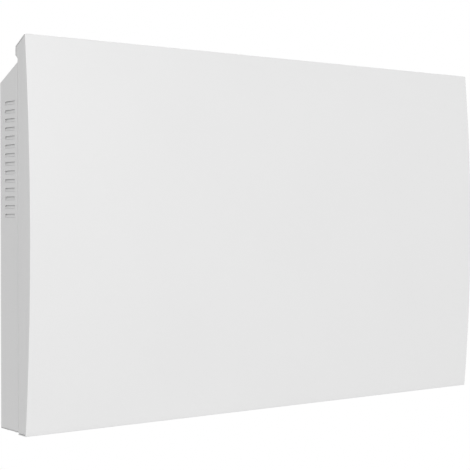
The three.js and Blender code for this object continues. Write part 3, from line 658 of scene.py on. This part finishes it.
zinc_spangle = shared_effect("zinc_spangle", "Roughness", "Flakes")
flakes = zinc_spangle.nodes.new("ShaderNodeSeparateColor")
feed(zinc_spangle, flakes.inputs["Color"], pattern(zinc_spangle, "Flakes", "Voronoi", "Color"))
smear = pattern(zinc_spangle, 21, Detail=5)
puts_out(zinc_spangle, Colour=tinted(zinc_spangle, flakes.outputs[0], 1.1, 0.86),
         Roughness=wandering(zinc_spangle, smear, 0.3),
         Height=reckoned(zinc_spangle, "ADD", smear, flakes.outputs[1]))

screw_zinc = finish("screw_zinc", zinc_spangle, (0.62, 0.63, 0.64), 0.32, 0.1, 0.0001, Metallic=1,
                    Flakes=1500)


def pan_head(axis="y", out=1):
    """Head of a cross-slotted screw, 7 mm across, standing on its own zero."""
    dome = [(0, 1.9), (1.4, 1.85), (2.5, 1.55), (3.2, 1), (3.5, 0.4), (3.5, 0.05), (3.4, 0), (1.2, 0),
            (1.2, -1), (0, -1)]
    head = turned([(radius, out * height) for radius, height in dome], axis=axis, sides=24)
    wide, long = 0.32, 1.7
    cross = [(-long, -wide), (-wide, -wide), (-wide, -long), (wide, -long), (wide, -wide), (long, -wide),
             (long, wide), (wide, wide), (wide, long), (-wide, long), (-wide, wide), (-long, wide)]
    return punched(head, extruded(cross, axis, *sorted((out * 0.9, out * 3))), screw_zinc)


screws = bmesh.new()
for x in (-screw_x, screw_x):
    screws = fitted(screws, pan_head(), screw_zinc, count=4, first=(x, screw_sink, screw_low),
                    step=(0, 0, screw_pitch))
    screws = fitted(screws, pan_head("z", -1), screw_zinc, count=2,
                    first=(x, base_screw_y, case_low - screw_sink), step=(0, base_screw_pitch, 0))
on_heater("case_screws", screws, screw_zinc, "galvanised")


# Wall buffers and cable gland: two rubber feet pushed into the back sheet, which keep the radiator off
# the wall, and a moulded gland that the mains cord would leave by.

grip_count = 12

moulded_rubber = finish("moulded_rubber", moulded_skin, (0.022, 0.022, 0.023), 0.7, 0.35, 0.0002,
                        Specular_IOR_Level=0.35, Grain=1700)
gland_black = finish("gland_black", moulded_skin, (0.018, 0.018, 0.02), 0.42, 0.25, 0.0001, Grain=2400)

for hand, side in hands:
    foot = turned([(0, -6.5), (2.6, -6.5), (3.2, -6.1), (4.6, -3.1), (4.4, -3), (3, -3), (3, -1.2),
                   (8.6, -1.2), (9, -0.8), (9, 3), (8.7, 3.3), (8.7, 3.9), (9, 4.2), (9, 13.4), (8.2, 15.4),
                   (7.2, 16.8), (6.4, 17.6), (5, 17.7), (3.2, 17.2), (0, 17.1)],
                  axis="y", centre=(side * buffer_x, 0, buffer_z))
    on_heater(f"{hand}_rubber_foot", foot, moulded_rubber, "rubber", f"{hand}_wall_buffer")

gland_place = (gland_x, back_y, gland_z)
barrel = turned([(4.5, -14), (7.6, -14), (7.9, -13.6), (7.9, 0.3), (10.6, 0.3), (11, 0.7), (11, 3.1),
                 (10.6, 3.5), (8.6, 3.5), (8.3, 4.2), (6.7, 9.6), (6.1, 10), (4.7, 10), (4.5, 9.7)],
                axis="y", centre=gland_place, sides=48)
grips = [moved(eased([(7.4, -0.7), (8.9, -0.45), (8.9, 0.45), (7.4, 0.7)], "y", 3.2, 6.2, 0.2),
               Matrix.Translation(gland_place) @ Matrix.Rotation(2 * math.pi * k / grip_count, 4, "Y"))
         for k in range(grip_count)]
on_heater("cord_gland", together(barrel, *grips), gland_black, "black_plastic", "cable_gland")


# Chassis: uprights, welded panel rails, core tray and top bar, all bent from galvanised sheet, with the
# small bracket of the thermal cut-out. Their solids are right as they are and get the zinc's spangle.

def finished(look, *nodes):
    """Gives solids that are right as they are their finish."""
    for node in nodes:
        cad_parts[node].data.materials[0] = look


galvanised = finish("galvanised", zinc_spangle, (0.58, 0.6, 0.61), 0.4, 0.12, 0.0002, Metallic=0.95,
                    Flakes=170)
finished(galvanised, "left_upright", "right_upright", "left_panel_rail", "right_panel_rail", "core_tray",
         "core_top_bar", "cutout_bracket")


# Heat reflector: bright rolled aluminium behind the core, stiffened by pressed beads. Its solid is right as
# it is; the roller's fine lines run up the sheet.

def mapped(tree, socket, value):
    """The group's vector, stretched or turned."""
    node = tree.nodes.new("ShaderNodeMapping")
    node.inputs[socket].default_value = value
    feed(tree, node.inputs["Vector"], "Vector")
    return node.outputs["Vector"]


rolled_lines = shared_effect("rolled_lines", "Roughness", "Lines")
lines = pattern(rolled_lines, "Lines", vector=mapped(rolled_lines, "Scale", (1, 1, 0.01)),
                Detail=4)
puts_out(rolled_lines, Colour=tinted(rolled_lines, lines, 1.06, 0.92),
         Roughness=wandering(rolled_lines, lines, 0.35), Height=lines)

bright_sheet = finish("bright_sheet", rolled_lines, (0.8, 0.81, 0.82), 0.24, 0.12, 0.0001, Metallic=1,
                      Lines=900)
finished(bright_sheet, "heat_reflector")


# Ceramic core: three modules, each of two pressed and fired slabs with eleven ribs outside and the
# element's groove inside. The slabs stand in the core tray and are held by the top bar.

module_count, module_pitch = 3, 254
slab_wide, slab_high, slab_base, slab_corner, slab_arris = 240, 310, 7.5, 1.2, 0.7
rib_deep, rib_count, rib_pitch, rib_arris, rib_root, rib_short = 3.5, 11, 21, 0.7, 0.6, 0.4
core_low, core_y, seat_gap, groove_play = 80, -44, 0.15, 0.35
element_radius, run_count, run_pitch, run_margin, pin_low = 3.25, 4, 60, 16, 56


def ramped(tree, value, far):
    """Runs from 0 to 1 as the value runs from 0 to its far end."""
    node = tree.nodes.new("ShaderNodeMapRange")
    node.inputs["From Max"].default_value = far
    feed(tree, node.inputs["Value"], value)
    return node.outputs["Result"]


fired_clay = shared_effect("fired_clay", "Roughness", "Specks")
pores = ramped(fired_clay, pattern(fired_clay, "Specks", "Voronoi", "Distance"), 0.22)
body_tone = pattern(fired_clay, 16, Detail=5)
dust = pattern(fired_clay, 900, Detail=3)
puts_out(fired_clay,
         Colour=tinted(fired_clay, pores, 1, 0.55, tinted(fired_clay, body_tone, 1.1, 0.88)),
         Roughness=wandering(fired_clay, dust, 0.2), Height=reckoned(fired_clay, "ADD", pores, dust))

slab_clay = finish("slab_clay", fired_clay, (0.66, 0.57, 0.45), 0.85, 0.4, 0.0004,
                   Specular_IOR_Level=0.3, Specks=420)


def module_x(module):
    return (module - (module_count - 1) / 2) * module_pitch


def pin_x(module, end):
    return module_x(module) + (end - 0.5) * (run_count - 1) * run_pitch


def route(corners, radius, steps=8):
    """Centre line through right-angled corners, with round turns."""
    points = [Vector(corner) for corner in corners]
    line = [points[0]]
    for before, here, after in zip(points, points[1:], points[2:]):
        way_in, way_out = (here - before).normalized(), (after - here).normalized()
        for k in range(steps + 1):
            turn = math.pi / 2 * k / steps
            line.append(here + way_in * radius * (math.sin(turn) - 1)
                        + way_out * radius * (1 - math.cos(turn)))
    line.append(points[-1])
    return [p for i, p in enumerate(line) if i == 0 or (p - line[i - 1]).length > 0.01]


def swept(line, radius, sides=16):
    """Round bar along a centre line."""
    rings = []
    across = (line[1] - line[0]).normalized().orthogonal().normalized()
    for i, point in enumerate(line):
        way = (line[min(i + 1, len(line) - 1)] - line[max(i - 1, 0)]).normalized()
        across = (across - way * across.dot(way)).normalized()
        beside = way.cross(across)
        rings.append([point + (across * math.cos(a) + beside * math.sin(a)) * radius
                      for a in (2 * math.pi * k / sides for k in range(sides))])
    return lofted(rings)


def element_line(module):
    """Down and up through the module, with both cold pins leaving below."""
    high, low = core_low + slab_high - run_margin, core_low + run_margin
    corners = []
    for run in range(run_count):
        x = pin_x(module, 0) + run * run_pitch
        ends = [(x, core_y, pin_low if run in (0, run_count - 1) else low), (x, core_y, high)]
        corners += ends[::-1] if run % 2 else ends
    return route(corners, run_pitch / 2, 14)


for module in range(module_count):
    middle = module_x(module)
    for hand, side in (("front", -1), ("rear", 1)):
        seat = core_y + side * seat_gap
        face_y, top_y = seat + side * slab_base, seat + side * (slab_base + rib_deep)
        root_y = seat + side * (slab_base - rib_root)
        blank = eased(plate(middle - slab_wide / 2, middle + slab_wide / 2, *sorted((seat, face_y)),
                            slab_corner, 3), "z", core_low, core_low + slab_high, slab_arris, 50, 3)
        slab = punched(blank, swept(element_line(module), element_radius + groove_play), slab_clay)
        rib = rounded([(-5.9, root_y), (-5.5, face_y, 0.8), (-3.5, top_y, 1.2), (3.5, top_y, 1.2),
                       (5.5, face_y, 0.8), (5.9, root_y)], 3)
        bar = eased(rib, "z", core_low + rib_short, core_low + slab_high - rib_short, rib_arris, 55, 2)
        slab = fitted(slab, bar, slab_clay, count=rib_count,
                      first=(middle - rib_pitch * (rib_count - 1) / 2, 0, 0), step=(rib_pitch, 0, 0))
        on_heater(f"{hand}_ceramic_{module + 1}", slab, slab_clay, "ceramic", f"{hand}_slab_{module + 1}")


# Heating elements: steel tubes bent into two loops, packed with insulation and oxidised by their own heat.
# Their cold pins leave through steatite beads that sit in the core tray.

oxide = shared_effect("heat_oxide", "Roughness", "Pin Height")
bloom = pattern(oxide, 60, Detail=6)
height = oxide.nodes.new("ShaderNodeSeparateXYZ")
feed(oxide, height.inputs["Vector"], "Vector")
heat = ramped(oxide, reckoned(oxide, "SUBTRACT", height.outputs["Z"], "Pin Height"), 0.07)
tempered = oxide.nodes.new("ShaderNodeMix")
tempered.data_type = "RGBA"
tempered.inputs["B"].default_value = (0.16, 0.12, 0.09, 1)
feed(oxide, tempered.inputs["Factor"], heat)
feed(oxide, tempered.inputs["A"], "Colour")
puts_out(oxide, Colour=tinted(oxide, bloom, 1.15, 0.8, tempered.outputs["Result"]),
         Roughness=reckoned(oxide, "ADD", "Roughness", reckoned(oxide, "MULTIPLY", heat, 0.3)), Height=bloom)

element_steel = finish("element_steel", oxide, (0.46, 0.45, 0.43), 0.35, 0.2, 0.0002, Metallic=0.9,
                       Pin_Height=-0.335)
bead_steatite = finish("bead_steatite", fired_clay, (0.78, 0.75, 0.68), 0.55, 0.15, 0.0002, Specks=900)
bead = [(3.7, 62), (7.6, 62), (8, 62.4), (8, 70), (9.4, 70), (10, 70.6), (10, 77.6), (9.5, 78.1),
        (7.3, 78.1), (7.1, 78.3), (7.1, 79.2), (6.9, 79.4), (4, 79.4), (3.7, 79.1)]
for module in range(module_count):
    number = module + 1
    on_heater(f"bent_element_{number}", swept(element_line(module), element_radius, 20), element_steel,
              "sheath", f"heating_element_{number}")
    for end, letter in enumerate("ab"):
        on_heater(f"steatite_bead_{number}{letter}", turned(bead, centre=(pin_x(module, end), core_y, 0)),
                  bead_steatite, "steatite", f"terminal_bead_{number}{letter}")


# Leads: stranded wire in braided glass sleeving, crimped to the pins. Two jumpers join the modules, and
# the supply and return leads climb behind the right-hand upright to the control unit.

lead_radius, lead_turn, lead_end, crimp_long = 2, 8, 453, 8
below_pin, jumper_z, supply_z, return_z = pin_low - 0.3, 44, 44, 34
supply_x, return_x = control_x + 58, control_x + 66

braid = shared_effect("braided_sleeve", "Threads")
threads = reckoned(braid, "MAXIMUM", *(
    pattern(braid, "Threads", "Wave", vector=mapped(braid, "Rotation", turn))
    for turn in ((0.6, 0.7, 0.4), (-0.6, 0.4, -0.9))))
puts_out(braid, Colour=tinted(braid, threads, 1.1, 0.65), Height=threads)

lead_sleeve = finish("lead_sleeve", braid, (0.56, 0.5, 0.4), 0.8, 0.5, 0.0003, Specular_IOR_Level=0.3,
                     Threads=260)
crimp = [(0, 0), (2.3, 0), (2.6, 0.3), (2.6, 3.2), (2.3, 3.6), (2.3, 4.6), (2.6, 5), (2.6, 7.6), (2.2, 8),
         (0, crimp_long)]


def lead(name, corners, node, *crimped):
    """A sleeve along its route, with a crimp at each of these ends."""
    sleeve = swept(route(corners, lead_turn), lead_radius, 14)
    cuffs = [turned(crimp, centre=(x, y, z - crimp_long)) for x, y, z in crimped]
    on_heater(name + "_wire", together(sleeve, *cuffs), lead_sleeve, "insulation", node)


for module in range(module_count - 1):
    left, right = (pin_x(module, 1), core_y, below_pin), (pin_x(module + 1, 0), core_y, below_pin)
    lead(f"jumper_{module + 1}", [left, (left[0], core_y, jumper_z), (right[0], core_y, jumper_z), right],
         f"jumper_{module + 1}_{module + 2}", left, right)
for name, x, floor_z, riser in (("supply", pin_x(module_count - 1, 1), supply_z, supply_x),
                                ("return", pin_x(0, 0), return_z, return_x)):
    behind = core_y + 2 * lead_turn
    lead(name, [(x, core_y, below_pin), (x, core_y, floor_z), (riser, core_y, floor_z),
                (riser, behind, floor_z), (riser, behind, lead_end)], name + "_lead", (x, core_y, below_pin))


# Small inner parts: cut-out, terminal block, gland nut, room sensor and its clip, control housing and
# display. Their solids are right as they are and get the finish of what they are moulded or fired from.

white_moulding = finish("white_moulding", moulded_skin, (0.74, 0.74, 0.735), 0.42, 0.18, 0.0001, Grain=2200)
black_moulding = finish("black_moulding", moulded_skin, (0.02, 0.02, 0.022), 0.4, 0.18, 0.0001, Grain=2400)
finished(bead_steatite, "thermal_cutout")
finished(white_moulding, "terminal_block", "sensor_clip", "control_housing")
finished(black_moulding, "gland_nut", "room_sensor", "display_module")


# Circuit board: glass-epoxy board under green solder mask, held on the housing's four posts. Its solid is
# right as it is, and the tracks stand out a little under the mask.

solder_mask = shared_effect("solder_mask", "Tracks")
tracks = pattern(solder_mask, "Tracks", "Brick", Mortar_Size=0.05)
puts_out(solder_mask, Colour=tinted(solder_mask, tracks, 1.5, 1), Height=tracks)
board_green = finish("board_green", solder_mask, (0.02, 0.12, 0.05), 0.35, 0.3, 0.0001, Coat_Weight=0.4,
                     Tracks=130)
finished(board_green, "circuit_board")


# Control bezel: a moulded frame that clips into the sloped top, with a window for the display, four
# button holes and the cut-out for the switch. It lies in the slope's own plane.

in_slope = hung @ on_slope
bezel_low, bezel_top, window_u, rocker_u, button_start, button_pitch = 0.3, 2.3, -46, 57, -14, 16
bezel_plan, window_plan, rocker_plan, button_hole = (75, 18, 3), (20, 9, 1), (10.3, 6.8, 0.6), 5.2
skirt_plan, skirt_hollow, skirt_deep = (69.6, 14.6, 1), (68, 13, 1), 4.5

bezel = eased(oblong(*bezel_plan), "z", bezel_low, bezel_top, 0.7, 50, 3)
for outline, row in ((oblong(*window_plan), {"first": (window_u, 0, 0)}),
                     (oblong(*rocker_plan), {"first": (rocker_u, 0, 0)}),
                     (disc(button_hole, 10), {"count": 4, "first": (button_start, 0, 0),
                                              "step": (button_pitch, 0, 0)})):
    bezel = punched(bezel, extruded(outline, "z", -6, 6), white_moulding, **row)
skirt = punched(extruded(oblong(*skirt_plan), "z", -skirt_deep, 0.5),
                extruded(oblong(*skirt_hollow), "z", -skirt_deep - 0.5, 1), white_moulding)
on_heater("moulded_bezel", together(bezel, skirt), white_moulding, "white_plastic", "control_bezel",
          place=in_slope)


# Display window: smoked acrylic, polished, let into the bezel from behind over the display. A ledge round
# its foot keeps it from falling out of the frame.

smoked = finish("smoked_acrylic", moulded_skin, (0.012, 0.014, 0.016), 0.08, 0.02, 0.0001, IOR=1.49,
                Coat_Weight=0.6, Coat_Roughness=0.03, Grain=300)
pane = eased(plate(window_u - 19.7, window_u + 19.7, -8.7, 8.7, 0.9), "z", -0.6, bezel_top - 0.1, 0.25, 50)
ledge = eased(plate(window_u - 21.5, window_u + 21.5, -10.5, 10.5, 1), "z", -1.2, -0.1, 0.15)
on_heater("smoked_window", together(pane, ledge), smoked, "glazing", "display_window", place=in_slope)


# Push buttons: moulded caps, slightly dished, with a stem down to the switch on the board. A fine raised
# mark on each: a dash, a cross of two dashes, a ring, and a tick.

mark_low, mark_high, mark_wide = 3, 3.48, 0.5
button_grey = finish("button_grey", moulded_skin, (0.33, 0.34, 0.35), 0.45, 0.15, 0.0001, Grain=2600)
cap = [(0, -5.9), (1.8, -5.9), (2, -5.7), (2, -1.8), (5.8, -1.8), (6, -1.6), (6, -0.2), (5.8, 0), (4.8, 0),
       (4.8, 2.9), (4.65, 3.25), (4.3, 3.45), (3.9, 3.5), (2.6, 3.32), (1.2, 3.22), (0, 3.2)]


def dash(u0, v0, u1, v1):
    """A raised stroke on a cap."""
    start, stop = Vector((u0, v0)), Vector((u1, v1))
    way = (stop - start).normalized()
    across = Vector((-way.y, way.x)) * mark_wide / 2
    return extruded([start - across, stop - across, stop + across, start + across], "z", mark_low, mark_high)


marks = {
    "minus": [dash(-1.7, 0, 1.7, 0)],
    "plus": [dash(-1.7, 0, 1.7, 0), dash(0, -1.7, 0, 1.7)],
    "mode": [turned([(1.2, mark_low), (1.7, mark_low), (1.7, mark_high), (1.2, mark_high)])],
    "confirm": [dash(-1.5, 0.1, -0.5, -1), dash(-0.62, -1.02, 1.6, 1.2)],
}
for i, (name, strokes) in enumerate(marks.items()):
    place = in_slope @ Matrix.Translation((button_start + i * button_pitch, 0, 0))
    piece(f"{name}_cap", together(turned(cap), *strokes), button_grey, f"button_{name}", "grey_plastic",
          f"button_{name}", place=place)


# On/off switch: a black well with a rim on the bezel, its blades below, and the rocker on two trunnions.
# The rocker leans 6 degrees at rest and has a raised bar on the side that switches on.

rim_low, rim_high, well_floor, blade_u, blade_end, rocker_lean = bezel_top + 0.3, 1.2, -14, 5, -21, 6
rim_plan, well_plan, well_hollow = (12, 8.3, 1.5), (10, 6.5, 0.5), (8.8, 5.4, 0.4)

rim = eased(oblong(*rim_plan), "z", rim_low, rim_low + rim_high, 0.4, 50, 3)
well = extruded(oblong(*well_plan), "z", well_floor, rim_low + 0.4)
rim, well = (punched(part, extruded(oblong(*well_hollow), "z", -4, rim_low + 5), black_moulding)
             for part in (rim, well))
blades = [eased(plate(u - 0.4, u + 0.4, -3, 3, 0), "z", blade_end, well_floor + 1, 0.1)
          for u in (-blade_u, blade_u)]
on_heater("switch_well", together(rim, well, *blades), black_moulding, "black_plastic", "rocker_housing",
          place=in_slope @ Matrix.Translation((rocker_u, 0, 0)))

face = rounded([(-7.6, -1.2, 0.4), (-4, -3, 0.4), (4, -3, 0.4), (7.6, -1.2, 0.4), (7.7, 4.9, 0.6),
                (4, 4.1, 3), (0, 3.7, 6), (-4, 4.1, 3), (-7.7, 4.9, 0.6)], 4)
rocker = together(eased(face, "y", -4.9, 4.9, 0.35, 50, 3), extruded(disc(0.95, 5), "y", -6.2, 6.2),
                  extruded(plate(4.2, 6.2, -0.3, 0.3, 0.1), "z", 3.8, 4.85))
trunnions = Matrix.Translation((rocker_u, 0, 0.5)) @ Matrix.Rotation(math.radians(rocker_lean), 4, "Y")
piece("switch_rocker", rocker, black_moulding, "power_rocker", "black_plastic", "power_rocker",
      place=in_slope @ trunnions)


# Front: one sheet of 1.2 mm steel, rolled to an even bow from top to bottom, its ends and foot folded back
# into a tray whose corners show fine seams. The top folds back and down to a short hem, and the open slit
# under it lets warm air out.

tray_half, tray_high, bow, front_steel = 429, 535, 13.2, 1.2
chord, tray_back, hem = -70, -49, -43.4
fold_z, hem_z, notch_z, slit_z = 521, 508.5, 504, 500
corner_z, fold_round, end_round, inner_round, return_wide, side_return = 535.85, 1.2, 0.9, 0.6, 9.2, 8
fall = (corner_z - fold_z) / (hem - chord)
inner, inner_chord, inner_hem, inner_back = (
    tray_half - front_steel, chord + front_steel, hem - front_steel, tray_back - front_steel)


def bowed(set_back, low, high):
    """Points of the front's arc between two heights, set back from its face."""
    radius = (tray_high ** 2 / 4 + bow ** 2) / (2 * bow)
    heights = [low + (high - low) * i / 64 for i in range(65)]
    centre = chord - bow + radius
    return [(centre - math.sqrt((radius - set_back) ** 2 - (z - tray_high / 2) ** 2), z) for z in heights]


def under_fold(y):
    """Height of the underside of the top fold."""
    return corner_z - (y - chord) * fall - front_steel * math.hypot(1, fall)


skin = rounded([(tray_back, 0, fold_round), (chord, 0, fold_round), *bowed(0, 0, corner_z)[1:-1],
                (chord, corner_z, fold_round), (hem, fold_z, fold_round), (hem, hem_z),
                (tray_back, notch_z)])
hollow = rounded([(inner_back, front_steel, inner_round), (inner_chord, front_steel, inner_round),
                  *bowed(front_steel, front_steel, under_fold(inner_chord))[1:-1],
                  (inner_chord, under_fold(inner_chord), inner_round),
                  (inner_hem, under_fold(inner_hem), inner_round), (inner_hem, slit_z),
                  (inner_back, slit_z)])
fold_seam = [(hem, hem_z - 1), (hem, fold_z), (chord + 1.5, corner_z - 1.5 * fall)]
foot_seam = [(chord + 2, 0), (tray_back + 1, 0)]

front = drawn(skin, (-tray_half, end_round), (tray_half, end_round))
for seam, sink, wide, deep in ((fold_seam, 1.3, 1.7, 0.9), (fold_seam, 1.8, 0.7, 2),
                               (foot_seam, 1.3, 1.4, 0.9), (foot_seam, 1.7, 0.4, 2)):
    groove = extruded(bent(seam, gauge=wide, inside=0.3, sink=sink), "x", -deep, deep)
    front = punched(front, groove, radiator_white, **pair(tray_half))
front = punched(front, drawn(hollow, (-inner, 0.4), (inner, 0.4)), radiator_white)
for opening in (plate(-inner + side_return, inner - side_return, return_wide, slit_z + 1, 2, 3),
                plate(-inner, inner, slit_z, hem_z, 0)):
    front = punched(front, extruded(opening, "y", tray_back - 3, tray_back + 20), radiator_white)
on_heater("bowed_front", front, radiator_white, "paint", "front_panel")
